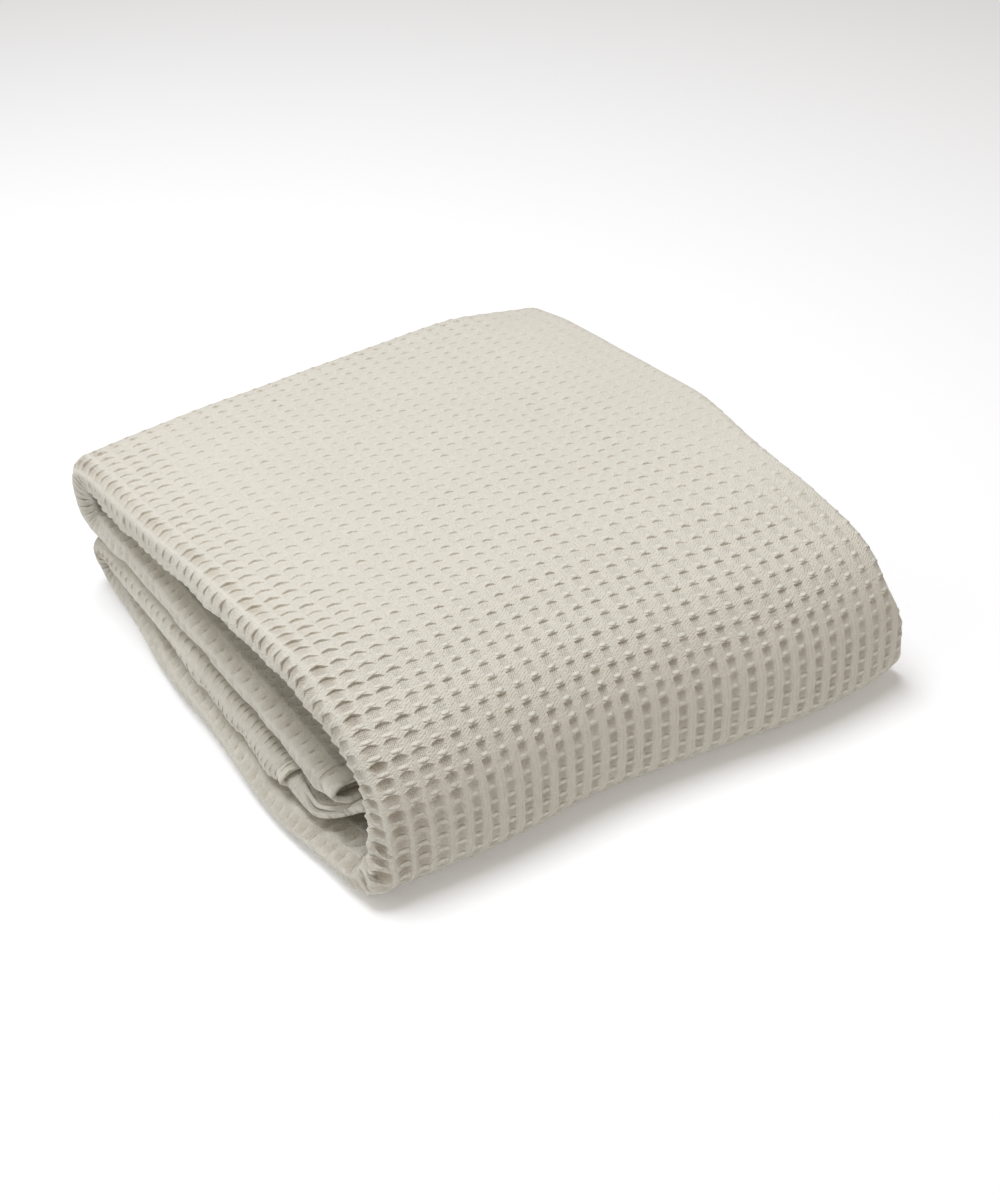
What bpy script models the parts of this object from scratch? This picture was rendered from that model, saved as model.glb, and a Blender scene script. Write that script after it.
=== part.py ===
"""Waffle weave cotton blanket, folded for a shelf.

One sheet of cloth is folded in half and in half again along its length, which
makes a strip of four layers. The strip's left end is a rolled fold, and its
right end holds the first fold and the two long hems. The strip is then turned
back on itself: its two ends are laid inwards, and the front half is closed
over them in one large soft bend, with the cloth face down under the stack.

Metres, +Z up. The large bend faces -Y and the rolled end faces -X. The origin
is at the middle of the footprint, on the surface that the blanket lies on.
"""

import math
from typing import NamedTuple

import bpy
from mathutils import Vector

NAME = "waffle_blanket"
MM = 0.001

# Cloth and strip
CLOTH_THICKNESS = 3.0 * MM
LAYER_PITCH = 5.6 * MM          # from one layer to the next where they lie close
INNER_LAYERS = 3                # layers that lie inside the outer one

# Slip of the layers at the tips of the two flaps, as the outer ones had further to go
SLIP_AT_START = 9.0 * MM        # inner flap: the inner fold stops behind the rolled end
SLIP_AT_END = 58.0 * MM         # outer flap: the rolled end stops before the inner fold
SLIP_REACH = 150.0 * MM         # the slip is spread over this much of each flap
SLIP_AT_HEMS = 0.8              # share of the slip at the end with the hems

# How far the front face leans out past its way, and how far the back folds reach past
# theirs, in millimetres at places along X
#              X    lean
FRONT_LEAN = ((-175, -15), (-150, -10.5), (-100, -6), (-40, -4.5), (20, 5.5), (60, 14),
              (100, 17), (130, 17), (150, 12))
BACK_LEAN = ((-165, 1), (-140, 3), (-100, 1), (70, 2), (95, 1.5), (118, -5), (146, -13))
FRONT_LEAN_START = -35.0 * MM   # Y at which the front lean begins
FRONT_LEAN_FULL = -150.0 * MM
BACK_LEAN_START = 40.0 * MM
BACK_LEAN_FULL = 150.0 * MM

DROOP_REACH = 95.0 * MM         # how far in from the rolled end the droop is felt
ROLL_RADIUS = LAYER_PITCH * INNER_LAYERS / 2.0      # of the rolled end, along X

# Fineness
BEND_STEP = math.radians(22.6)  # one row of faces for each such turn in the bends
RUN_STEP = 75.0 * MM            # and one for each such length between them
CLOSEST = 6.0 * MM              # rows are never closer than this
ROLL_STEPS = 6
FOLD_STEPS = 4
RUN_SHARES = (0.1, 0.26, 0.5, 0.75)


class Turn(NamedTuple):
    """One rounded corner of the way that the strip's outer layer takes."""

    name: str
    depth: float    # Y
    height: float   # Z
    radius: float
    spread: float   # thickness of the strip, against layers that lie close
    left: float     # X of the rolled end
    right: float    # X of the end with the hems
    droop: float    # how far the rolled end hangs below the way


# The corners in order along the cloth, in millimetres; the spread is a plain number.
#     name                        depth height radius spread left right droop
TURNS = [Turn(name, y * MM, z * MM, r * MM, spread, left * MM, right * MM, droop * MM)
         for name, y, z, r, spread, left, right, droop in (
    ("inner flap, tip",            -133,  39,   0,  0.90, -171, 141,  0),
    ("inner flap, front",          -116,31.8,  30,  0.95, -171, 142,  0),
    ("inner flap, middle",          -10,  47, 250,  1.05, -172, 144,  0),
    ("inner flap, back",            105,  51,  90,  1.00, -169, 144,  3),
    ("upper back fold, below",      165,  48,24.5,  1.00, -166, 143,  7),
    ("upper back fold, above",      165,  97,24.5,  1.05, -167, 142,  5),
    ("top, back",                   100, 100,   0,  1.25, -169, 142,  4),
    ("top, middle",                 -10, 103, 600,  0.95, -173, 142,  0),
    ("top, shoulder",              -100, 103, 105,  0.85, -172, 128, -1),
    ("front, shoulder",            -167,  79,  58,  0.85, -167, 127,  0),
    ("front, middle",              -170,  42, 200,  0.88,-169.5,141,  0),
    ("front, foot",              -169.5, 1.5,  20,  0.88,-177.5,146,  0),
    ("underside, front",            -80, 1.5,   0,  0.74, -182, 147,  0),
    ("underside, middle",            20, 1.5,   0,  1.10, -176, 148,  0),
    ("lower back fold, below",      164, 1.5,19.8,  0.88, -161, 147,  0),
    ("lower back fold, above",      164,  41,19.8,  0.82, -164, 146,  4),
    ("outer flap, back",            105,  47,  90,  0.95, -168, 145,  3),
    ("outer flap, middle",           10,41.5, 250,  1.00, -174, 143,  0),
    ("outer flap, front",          -112,  29,  34,  0.78, -178, 142,  0),
    ("outer flap, tip",            -140,  43,   0,  0.78, -165, 141,  0),
)]
SIZES = ("spread", "left", "right", "droop")    # what changes from corner to corner


class SectionPoint(NamedTuple):
    """A point of the strip's cross-section."""

    share: float    # 0 at the rolled end, 1 at the end with the hems
    inset: float    # in from that end
    layer: float    # 0 for the outer layer to 3 for the inner one
    slip: float     # share of the slip at the strip's ends


class Stretch(NamedTuple):
    """A straight run or a round bend of the way."""

    start: Vector       # in the YZ plane
    heading: float      # direction at the start, from +Y towards +Z
    curvature: float    # 0 in a run
    length: float


class Station(NamedTuple):
    """A place on the way, with the strip's sizes there."""

    place: Vector   # in the YZ plane
    out: Vector     # points out of the outer layer
    sizes: dict


def ease(value: float) -> float:
    """Rise smoothly from 0 to 1 as the value goes from 0 to 1."""
    value = min(max(value, 0.0), 1.0)
    return value * value * (3.0 - 2.0 * value)


def mix(start: float, end: float, part: float) -> float:
    """Go from start to end by a part from 0 to 1."""
    return start + (end - start) * part


class Way:
    """The way of the strip's outer layer, from the inner flap's tip to the outer flap's."""

    def __init__(self, turns: list) -> None:
        self.turns = turns
        self.stretches = []
        self.middles = [0.0]        # how far along the way each corner's middle lies
        self.length = 0.0
        corners = [Vector((turn.depth, turn.height)) for turn in turns]
        here = corners[0]
        for number, corner in enumerate(corners[1:], start=1):
            heading = math.atan2(*reversed(corner - corners[number - 1]))
            last = number == len(corners) - 1
            onward = heading if last else math.atan2(*reversed(corners[number + 1] - corner))
            bend = math.remainder(onward - heading, math.tau)
            radius = turns[number].radius
            forward = Vector((math.cos(heading), math.sin(heading)))
            run = (corner - here).dot(forward) - radius * math.tan(abs(bend) / 2.0)
            self.add(Stretch(here, heading, 0.0, max(run, 0.0)))
            if radius > 0.0 and bend != 0.0:
                start = here + forward * run
                curvature = math.copysign(1.0 / radius, bend)
                self.add(Stretch(start, heading, curvature, radius * abs(bend)))
            here = self.stretch_place(self.stretches[-1], self.stretches[-1].length)
            self.middles.append(self.length - radius * abs(bend) / 2.0)

    def add(self, stretch: Stretch) -> None:
        """Add one stretch at the end."""
        self.stretches.append(stretch)
        self.length += stretch.length

    @staticmethod
    def stretch_place(stretch: Stretch, distance: float) -> Vector:
        """The place at a distance from a stretch's start."""
        heading = stretch.heading
        if stretch.curvature == 0.0:
            return stretch.start + Vector((math.cos(heading), math.sin(heading))) * distance
        turned = heading + stretch.curvature * distance
        return stretch.start + Vector((math.sin(turned) - math.sin(heading),
                                       math.cos(heading) - math.cos(turned))) / stretch.curvature

    def sizes_at(self, distance: float) -> dict:
        """The strip's sizes at a distance along the way, eased from corner to corner."""
        number = 0
        while number < len(self.turns) - 2 and distance > self.middles[number + 1]:
            number += 1
        gap = self.middles[number + 1] - self.middles[number]
        part = ease((distance - self.middles[number]) / gap)
        return {size: mix(getattr(self.turns[number], size),
                          getattr(self.turns[number + 1], size), part) for size in SIZES}

    def station(self, distance: float) -> Station:
        """The station at a distance along the way."""
        left = distance
        number = 0
        while number < len(self.stretches) - 1 and left > self.stretches[number].length:
            left -= self.stretches[number].length
            number += 1
        stretch = self.stretches[number]
        heading = stretch.heading + stretch.curvature * left
        return Station(self.stretch_place(stretch, left),
                       Vector((math.sin(heading), -math.cos(heading))), self.sizes_at(distance))

    def row_distances(self) -> list:
        """How far along the way the rows of the sheet's mesh lie."""
        distances = [0.0]
        passed = 0.0
        for stretch in self.stretches:
            turned = abs(stretch.curvature) * stretch.length
            steps = max(math.ceil(stretch.length / RUN_STEP), math.ceil(turned / BEND_STEP), 1)
            for step in range(1, steps + 1):
                distance = passed + stretch.length * step / steps
                if distance - distances[-1] > CLOSEST:
                    distances.append(distance)
            passed += stretch.length
        distances[-1] = self.length
        return distances


def fold_arc(from_layer: float, to_layer: float, share: float, slip: float) -> list:
    """Points of the fold that joins two layers at one end of the strip."""
    middle = (from_layer + to_layer) / 2.0
    radius = (to_layer - from_layer) / 2.0
    size = abs(radius) * LAYER_PITCH
    clear = ROLL_RADIUS - size if share == 0.0 else 0.0
    steps = ROLL_STEPS if size == ROLL_RADIUS else FOLD_STEPS
    points = []
    for step in range(steps + 1):
        turned = math.pi * step / steps
        inset = clear + size * (1.0 - math.sin(turned))
        points.append(SectionPoint(share, inset, middle - radius * math.cos(turned), slip))
    return points


def layer_run(layer: float, leftwards: bool, slip_left: float, slip_right: float) -> list:
    """Points of one layer between its ends, closer together near the rolled end."""
    shares = reversed(RUN_SHARES) if leftwards else RUN_SHARES
    return [SectionPoint(share, 0.0, layer, mix(slip_left, slip_right, share))
            for share in shares]


def section() -> list:
    """The strip's cross-section in order along the cloth, from hem to hem."""
    points = [SectionPoint(1.0, 0.0, 3.0, 1.0)]
    points += layer_run(3.0, True, 1.0, 1.0)
    points += fold_arc(3.0, 0.0, 0.0, 1.0)
    points += layer_run(0.0, False, 1.0, SLIP_AT_HEMS)
    points += fold_arc(0.0, 1.0, 1.0, SLIP_AT_HEMS)
    points += layer_run(1.0, True, 0.0, SLIP_AT_HEMS)
    points += fold_arc(1.0, 2.0, 0.0, 0.0)
    points += layer_run(2.0, False, 0.0, 0.0)
    points.append(SectionPoint(1.0, 0.0, 2.0, 0.0))
    return points


def folded(station: Station, point: SectionPoint) -> Vector:
    """Where a point of the section lies at one station of the way."""
    sizes = station.sizes
    if point.share == 0.0:
        across = sizes["left"] + point.inset
    elif point.share == 1.0:
        across = sizes["right"] - point.inset
    else:
        across = mix(sizes["left"] + ROLL_RADIUS, sizes["right"] - LAYER_PITCH / 2.0, point.share)
    inward = point.layer * LAYER_PITCH * sizes["spread"]
    place = station.place - station.out * inward
    droop = sizes["droop"] * ease(1.0 - (across - sizes["left"]) / DROOP_REACH)
    return Vector((across, place.x, place.y - droop))


def lean_at(table: tuple, across: float) -> float:
    """Read a table of leans at one place across the blanket."""
    rows = [(x * MM, lean * MM) for x, lean in table]
    if across <= rows[0][0]:
        return rows[0][1]
    for (x, lean), (next_x, next_lean) in zip(rows, rows[1:]):
        if across <= next_x:
            return mix(lean, next_lean, (across - x) / (next_x - x))
    return rows[-1][1]


def leaned(point: Vector) -> Vector:
    """Give the front and the back their uneven outline."""
    front = ease((FRONT_LEAN_START - point.y) / (FRONT_LEAN_START - FRONT_LEAN_FULL))
    back = ease((point.y - BACK_LEAN_START) / (BACK_LEAN_FULL - BACK_LEAN_START))
    shift = lean_at(BACK_LEAN, point.x) * back - lean_at(FRONT_LEAN, point.x) * front
    return Vector((point.x, point.y + shift, point.z))


def slipped(distance: float, length: float, share: float) -> float:
    """How far along the way a row lies, with its share of the slip at the strip's ends."""
    from_end = length - distance
    if distance < SLIP_REACH:
        return distance + SLIP_AT_START * (1.0 - share) * (1.0 - distance / SLIP_REACH)
    if from_end < SLIP_REACH:
        return distance - SLIP_AT_END * share * (1.0 - from_end / SLIP_REACH)
    return distance


def cloth_sheet(collection) -> bpy.types.Object:
    """The whole cloth: a flat grid, folded station by station, with its thickness."""
    way = Way(TURNS)
    rows = way.row_distances()
    columns = section()
    bpy.ops.mesh.primitive_grid_add(x_subdivisions=len(columns) - 1,
                                    y_subdivisions=len(rows) - 1, size=1.0)
    sheet = bpy.context.active_object
    sheet.name = "blanket"
    for vertex in sheet.data.vertices:
        column = columns[round((vertex.co.x + 0.5) * (len(columns) - 1))]
        row = rows[round((vertex.co.y + 0.5) * (len(rows) - 1))]
        station = way.station(slipped(row, way.length, column.slip))
        vertex.co = leaned(folded(station, column))
    for owner in list(sheet.users_collection):
        owner.objects.unlink(sheet)
    collection.objects.link(sheet)
    thickness = sheet.modifiers.new("cloth thickness", "SOLIDIFY")
    thickness.thickness = CLOTH_THICKNESS
    thickness.offset = 0.0
    thickness.use_even_offset = True
    thickness.use_quality_normals = True
    sheet.data.shade_smooth()
    return sheet


def stand_on_floor(sheet: bpy.types.Object) -> None:
    """Move the mesh so that the origin is at the middle of the footprint, on the floor."""
    view = bpy.context.evaluated_depsgraph_get()
    corners = [vertex.co for vertex in sheet.evaluated_get(view).data.vertices]
    low = Vector([min(corner[axis] for corner in corners) for axis in range(3)])
    high = Vector([max(corner[axis] for corner in corners) for axis in range(3)])
    shift = Vector(((low.x + high.x) / 2.0, (low.y + high.y) / 2.0, low.z))
    for vertex in sheet.data.vertices:
        vertex.co -= shift


def cotton() -> bpy.types.Material:
    """Undyed ivory cotton."""
    material = bpy.data.materials.new("ivory_cotton")
    material.use_nodes = True
    shader = material.node_tree.nodes["Principled BSDF"]
    shader.inputs["Base Color"].default_value = (0.72, 0.69, 0.61, 1.0)
    shader.inputs["Roughness"].default_value = 0.9
    shader.inputs["Metallic"].default_value = 0.0
    return material


def main() -> None:
    """Clear the scene and model the blanket."""
    for item in list(bpy.data.objects):
        bpy.data.objects.remove(item, do_unlink=True)
    collection = bpy.data.collections.new(NAME)
    bpy.context.scene.collection.children.link(collection)
    sheet = cloth_sheet(collection)
    stand_on_floor(sheet)
    sheet.data.materials.append(cotton())


main()
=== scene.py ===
"""Looks of a waffle weave cotton blanket, folded for a shelf.

One sheet of ivory cotton is folded in half and in half again, which makes a strip
of four layers with a rolled left end. The strip's two ends are laid inwards and its
front half is closed over them in one large soft bend. The weave is modelled: every
cell is a shallow pocket between ribs, deeper where the cloth is pulled over an edge.
"""

import logging
import math
from dataclasses import dataclass, field
from enum import Enum
from typing import NamedTuple

import bpy
import numpy as np
from mathutils import Matrix, Vector


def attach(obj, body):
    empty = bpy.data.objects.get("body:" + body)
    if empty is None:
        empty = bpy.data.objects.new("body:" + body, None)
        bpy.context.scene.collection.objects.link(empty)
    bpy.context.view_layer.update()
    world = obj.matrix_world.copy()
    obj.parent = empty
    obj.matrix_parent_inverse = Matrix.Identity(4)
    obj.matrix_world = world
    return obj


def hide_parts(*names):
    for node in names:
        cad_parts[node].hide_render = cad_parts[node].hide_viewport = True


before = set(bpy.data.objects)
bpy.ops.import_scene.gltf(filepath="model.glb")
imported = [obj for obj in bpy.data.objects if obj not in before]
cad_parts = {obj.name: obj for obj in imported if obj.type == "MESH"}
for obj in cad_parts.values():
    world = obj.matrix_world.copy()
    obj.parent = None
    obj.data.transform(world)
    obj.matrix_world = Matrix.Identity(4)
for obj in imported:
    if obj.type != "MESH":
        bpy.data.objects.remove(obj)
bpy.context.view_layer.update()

MM = 0.001
LOG = logging.getLogger("blanket")


# --------------------------------------------------------------------------- folding

class Turn(NamedTuple):
    """One rounded corner of the way that the strip's outer layer takes."""

    name: str
    depth: float    # Y
    height: float   # Z
    radius: float
    spread: float   # thickness of the strip, against layers that lie close
    left: float     # X of the rolled end
    right: float    # X of the end with the hems
    droop: float    # how far the rolled end hangs below the way


# The corners in order along the cloth, in millimetres; the spread is a plain number.
#     name                       depth height radius spread  left  right droop
TURNS = [Turn(name, y * MM, z * MM, r * MM, spread, left * MM, right * MM, droop * MM)
         for name, y, z, r, spread, left, right, droop in (
    ("inner flap, tip",         -133.0,  39.0,   0.0, 0.90, -171.0, 141.0,  0.0),
    ("inner flap, front",       -116.0,  31.8,  30.0, 0.95, -171.0, 142.0,  0.0),
    ("inner flap, middle",       -10.0,  47.0, 250.0, 1.05, -172.0, 144.0,  0.0),
    ("inner flap, back",         105.0,  51.0,  90.0, 1.00, -169.0, 144.0,  3.0),
    ("upper back fold, below",   165.0,  48.0,  24.5, 1.00, -166.0, 143.0,  7.0),
    ("upper back fold, above",   165.0,  97.0,  24.5, 1.05, -167.0, 142.0,  5.0),
    ("top, back",                100.0, 100.0,   0.0, 1.25, -169.0, 142.0,  4.0),
    ("top, middle",              -10.0, 103.0, 600.0, 0.95, -173.0, 142.0,  0.0),
    ("top, shoulder",           -100.0, 103.0, 105.0, 0.85, -172.0, 127.0, -1.0),
    ("front, shoulder",         -167.0,  79.0,  58.0, 0.85, -167.0, 130.0,  0.0),
    ("front, middle",           -170.0,  42.0, 200.0, 0.88, -169.5, 141.0,  0.0),
    ("front, foot",             -169.5,   1.5,  20.0, 0.88, -177.5, 146.0,  0.0),
    ("underside, front",         -80.0,   1.5,   0.0, 0.74, -182.0, 147.0,  0.0),
    ("underside, middle",         20.0,   1.5,   0.0, 1.10, -176.0, 148.0,  0.0),
    ("lower back fold, below",   164.0,   1.5,  19.8, 0.88, -161.0, 147.0,  0.0),
    ("lower back fold, above",   164.0,  41.0,  19.8, 0.82, -164.0, 146.0,  4.0),
    ("outer flap, back",         105.0,  47.0,  90.0, 0.95, -168.0, 145.0,  3.0),
    ("outer flap, middle",        10.0,  41.5, 250.0, 1.00, -174.0, 143.0,  0.0),
    ("outer flap, front",       -112.0,  29.0,  34.0, 0.78, -178.0, 142.0,  0.0),
    ("outer flap, tip",         -140.0,  43.0,   0.0, 0.84, -165.0, 141.0,  0.0),
)]

# How far the front face leans out, and the back folds reach past their way, along X
#              X    lean
FRONT_LEAN = ((-175, -15), (-150, -10.5), (-100, -6), (-40, -4.5), (20, 5.5), (60, 14),
              (100, 17), (130, 17), (150, 12))
BACK_LEAN = ((-165, 1), (-140, 3), (-100, 1), (70, 2), (95, 1.5), (118, -5), (146, -13))
ORIGIN = Vector((16.98 * MM, 8.99 * MM, 0.0))     # from the folding frame to the part's


def ease(value: np.ndarray) -> np.ndarray:
    """Rise smoothly from 0 to 1 as the value goes from 0 to 1."""
    value = np.clip(value, 0.0, 1.0)
    return value * value * (3.0 - 2.0 * value)


def mix(start: np.ndarray, end: np.ndarray, part: np.ndarray) -> np.ndarray:
    """Go from start to end by a part from 0 to 1."""
    return start + (end - start) * part


class Slope(NamedTuple):
    """Where a change over the cloth starts and how far it takes, backwards if negative."""

    start: float
    reach: float

    def at(self, place: np.ndarray) -> np.ndarray:
        """Rise from 0 before the slope to 1 past it."""
        return ease((place - self.start) / self.reach)


class Band(NamedTuple):
    """A stretch of the cloth, and how far it takes to rise and fall at its ends."""

    start: float
    end: float
    rise: float = 1.0
    fall: float = 1.0

    def holds(self, place: np.ndarray) -> np.ndarray:
        """Tell whether places lie in the band."""
        return (place > self.start) & (place < self.end)

    def at(self, place: np.ndarray) -> np.ndarray:
        """1 well inside the band, fading to 0 at its ends."""
        return ease((place - self.start) / self.rise) * ease((self.end - place) / self.fall)


class Way:
    """The way of the strip's outer layer, from the inner flap's tip to the outer flap's."""

    def __init__(self, turns: list[Turn]) -> None:
        """Lay out the straight runs and round bends.

        Args:
            turns: The corners, in order along the cloth.
        """
        self.turns = turns
        corners = np.array([(turn.depth, turn.height) for turn in turns])
        here = corners[0]
        rows = []
        middles = [0.0]
        passed = 0.0
        for number in range(1, len(corners)):
            step = corners[number] - corners[number - 1]
            heading = math.atan2(step[1], step[0])
            onward = heading
            if number < len(corners) - 1:
                after = corners[number + 1] - corners[number]
                onward = math.atan2(after[1], after[0])
            bend = math.remainder(onward - heading, math.tau)
            radius = turns[number].radius
            forward = np.array((math.cos(heading), math.sin(heading)))
            run = float((corners[number] - here) @ forward) - radius * math.tan(abs(bend) / 2)
            rows.append((passed, *here, heading, 0.0))
            passed += max(run, 0.0)
            here = here + forward * max(run, 0.0)
            if radius > 0.0 and bend != 0.0:
                curve = math.copysign(1.0 / radius, bend)
                rows.append((passed, *here, heading, curve))
                passed += radius * abs(bend)
                here = here + np.array((math.sin(heading + bend) - math.sin(heading),
                                        math.cos(heading) - math.cos(heading + bend))) / curve
            middles.append(passed - radius * abs(bend) / 2)
        self.stretches = np.array(rows)
        self.middles = np.array(middles)
        self.length = passed

    def corner(self, name: str) -> float:
        """How far along the way the middle of a named corner lies."""
        return float(self.middles[[turn.name for turn in self.turns].index(name)])

    def place(self, distance: np.ndarray) -> tuple[np.ndarray, np.ndarray, np.ndarray]:
        """Places on the way.

        Args:
            distance: How far along the way.

        Returns:
            The depth, the height and the heading there.
        """
        starts = self.stretches[:, 0]
        number = np.clip(np.searchsorted(starts, distance, side="right") - 1, 0, len(starts) - 1)
        start, depth, height, heading, curve = self.stretches[number].T
        along = distance - start
        turned = heading + curve * along
        bent = np.where(curve == 0.0, 1.0, curve)
        depth = depth + np.where(curve == 0.0, np.cos(heading) * along,
                                 (np.sin(turned) - np.sin(heading)) / bent)
        height = height + np.where(curve == 0.0, np.sin(heading) * along,
                                   (np.cos(heading) - np.cos(turned)) / bent)
        return depth, height, turned

    def size(self, name: str, distance: np.ndarray) -> np.ndarray:
        """One of the strip's sizes along the way, eased from corner to corner.

        Args:
            name: A field of Turn.
            distance: How far along the way.

        Returns:
            The size there.
        """
        values = np.array([getattr(turn, name) for turn in self.turns])
        number = np.clip(np.searchsorted(self.middles, distance, side="left") - 1,
                         0, len(values) - 2)
        gap = self.middles[number + 1] - self.middles[number]
        return mix(values[number], values[number + 1],
                   ease((distance - self.middles[number]) / gap))


@dataclass
class FoldedCloth:
    """Folds a flat cloth: across is along the strip's section, along is along its way."""

    layer_pitch: float = 5.6 * MM
    inner_layers: int = 3
    slip_at_start: float = 9.0 * MM
    slip_at_end: float = 58.0 * MM
    slip_reach: float = 150.0 * MM
    slip_at_hems: float = 0.8
    front_lean_start: float = -35.0 * MM
    front_lean_full: float = -150.0 * MM
    back_lean_start: float = 40.0 * MM
    back_lean_full: float = 150.0 * MM
    lean_softness: float = 14.0 * MM    # over which the leans' corners are rounded
    lean_steps: int = 5
    droop_reach: float = 95.0 * MM
    corner_droop: float = 4.0 * MM      # how far the top's right back corner hangs
    corner_height: float = 100.0 * MM   # at this height
    corner_right: Slope = Slope(85.0 * MM, 60.0 * MM)
    corner_back: Slope = Slope(105.0 * MM, 60.0 * MM)
    tip_reach: float = 20.0 * MM        # how far in from the flaps' tips the layers are pressed
    tip_pressed: float = 0.36
    nested: float = 2.2 * MM            # how far the inner fold reaches into the rolled end
    probe: float = 0.25 * MM            # how far to either side a direction is measured
    way: Way = field(default_factory=lambda: Way(TURNS))

    @property
    def roll(self) -> float:
        """Half the width of the rolled end, along X."""
        return self.layer_pitch * self.inner_layers / 2

    def slipped(self, along: np.ndarray, share: np.ndarray) -> np.ndarray:
        """How far along the way a place lies, with its share of the slip at the flaps' tips.

        Args:
            along: The flat cloth's distance from its first edge.
            share: The share of the slip.

        Returns:
            The distance along the way.
        """
        from_end = self.way.length - along
        start = self.slip_at_start * (1.0 - share) * np.clip(1.0 - along / self.slip_reach, 0, 1)
        end = self.slip_at_end * share * np.clip(1.0 - from_end / self.slip_reach, 0, 1)
        return along + start - end

    def pressed(self, along: np.ndarray) -> np.ndarray:
        """How close the layers lie near the flaps' tips, against elsewhere."""
        from_tip = np.minimum(along, self.way.length - along)
        return 1.0 - self.tip_pressed * ease(1.0 - from_tip / self.tip_reach)

    def lean(self, table: tuple, across: np.ndarray) -> np.ndarray:
        """Read a table of leans, with its corners rounded.

        Args:
            table: Rows of a place along X and a lean, in millimetres.
            across: Places along X.

        Returns:
            The leans.
        """
        places, leans = (np.array(column) * MM for column in zip(*table))
        steps = np.linspace(-self.lean_softness, self.lean_softness, self.lean_steps)
        return np.mean([np.interp(across + step, places, leans) for step in steps], axis=0)

    def section(self, across: np.ndarray, along: np.ndarray) -> tuple[np.ndarray, ...]:
        """Where places lie in the strip's cross-section.

        Args:
            across: Flat places along the section; on the outer layer they are X.
            along: Flat places along the way.

        Returns:
            X, the layer from 0 outside to 3 inside, and the share of the slip. The outer
            layer is 0, and the rolled end leads from it to layer 3. On the other side the
            first fold leads to layer 1, and the inner fold from there to layer 2.
        """
        left = {slip: self.way.size("left", self.slipped(along, slip)) + self.roll
                for slip in (0.0, 1.0)}
        right = {slip: self.way.size("right", self.slipped(along, slip))
                 for slip in (0.0, self.slip_at_hems, 1.0)}
        outer_left = left[1.0]
        outer_right = right[self.slip_at_hems] - self.layer_pitch / 2
        inner_left = left[0.0] - self.nested
        spread = self.way.size("spread", along) * self.pressed(along)
        turn = math.pi * self.roll * np.sqrt((1.0 + spread ** 2) / 2)
        small = math.pi * self.layer_pitch / 2 * np.sqrt((1.0 + spread ** 2) / 2)
        hem_run = outer_left - turn - SHEET_START
        inner_run = (SHEET_END - outer_right - 2 * small) / 2

        before = outer_left - across                    # past the outer layer's left end
        after = across - outer_right                    # past its right end
        share = np.clip((across - outer_left) / (outer_right - outer_left), 0, 1)
        rolled = math.pi * (before / turn)              # angles round the three bends
        folded = math.pi * (after / small)
        inner_folded = math.pi * ((after - small - inner_run) / small)
        third = (after - 2 * small - inner_run) / inner_run     # parts of the straight runs
        second = (after - small) / inner_run
        hem = (before - turn) / hem_run
        half = self.layer_pitch / 2
        inner, slip = self.inner_layers, self.slip_at_hems
        runs = (    # the first that holds counts; X, the layer and the slip of each
            (after > 2 * small + inner_run, mix(inner_left, right[0.0], third), 2.0, 0.0),
            (after > small + inner_run, inner_left - half * np.sin(inner_folded),
             1.0 + (1.0 - np.cos(inner_folded)) / 2, 0.0),
            (after > small, mix(outer_right, inner_left, second), 1.0, mix(slip, 0.0, second)),
            (after > 0, outer_right + half * np.sin(folded), (1.0 - np.cos(folded)) / 2, slip),
            (before > turn, mix(outer_left, right[1.0], hem), inner, 1.0),
            (before > 0, outer_left - self.roll * np.sin(rolled),
             inner * (1.0 - np.cos(rolled)) / 2, 1.0),
            (share >= 0, across, 0.0, mix(1.0, slip, share)))
        places, *values = zip(*runs)
        return tuple(np.select(places, value) for value in values)

    def fold(self, across: np.ndarray, along: np.ndarray) -> np.ndarray:
        """Where the middle of the cloth's thickness lies.

        Args:
            across: Flat places along the section; on the outer layer they are X.
            along: Flat places along the way.

        Returns:
            Points, one a row.
        """
        x, layer, slip = self.section(across, along)
        distance = self.slipped(along, slip)
        depth, height, heading = self.way.place(distance)
        inward = layer * self.layer_pitch * self.way.size("spread", distance)
        inward = inward * self.pressed(along)
        y = depth - np.sin(heading) * inward
        z = height + np.cos(heading) * inward
        reach = (x - self.way.size("left", distance)) / self.droop_reach
        z = z - self.way.size("droop", distance) * ease(1.0 - reach)
        corner = self.corner_right.at(x) * self.corner_back.at(y)
        z = z - self.corner_droop * corner * z / self.corner_height
        front = ease((self.front_lean_start - y) / (self.front_lean_start - self.front_lean_full))
        back = ease((y - self.back_lean_start) / (self.back_lean_full - self.back_lean_start))
        y = y + self.lean(BACK_LEAN, x) * back - self.lean(FRONT_LEAN, x) * front
        return np.stack((x, y, z), axis=1) + np.array(ORIGIN)

    def normals(self, across: np.ndarray, along: np.ndarray) -> np.ndarray:
        """The directions in which the cloth's face looks.

        Args:
            across: Flat places along the section.
            along: Flat places along the way.

        Returns:
            Unit vectors, one a row.
        """
        step = self.probe
        side = self.fold(across + step, along) - self.fold(across - step, along)
        onward = self.fold(across, along + step) - self.fold(across, along - step)
        normal = np.cross(onward, side)
        return normal / np.linalg.norm(normal, axis=1, keepdims=True)


# --------------------------------------------------------------------------- the cloth

class Grain(Enum):
    """How fine the mesh is in one waffle cell."""

    COARSE = 0      # one face for four cells
    FOLD = 1        # tight folds that run along the cloth
    EDGE = 2        # hems, tips, the lower back fold, and the folds on the inner side
    FINE = 3        # pockets, ribs and ridges
    FINE_FOLD = 4   # the same on a tight fold


class Depth(NamedTuple):
    """How deep the pockets are at one corner of the way, as a share of the full depth."""

    corner: str
    middle: float
    roll: float         # on the rolled end


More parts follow.
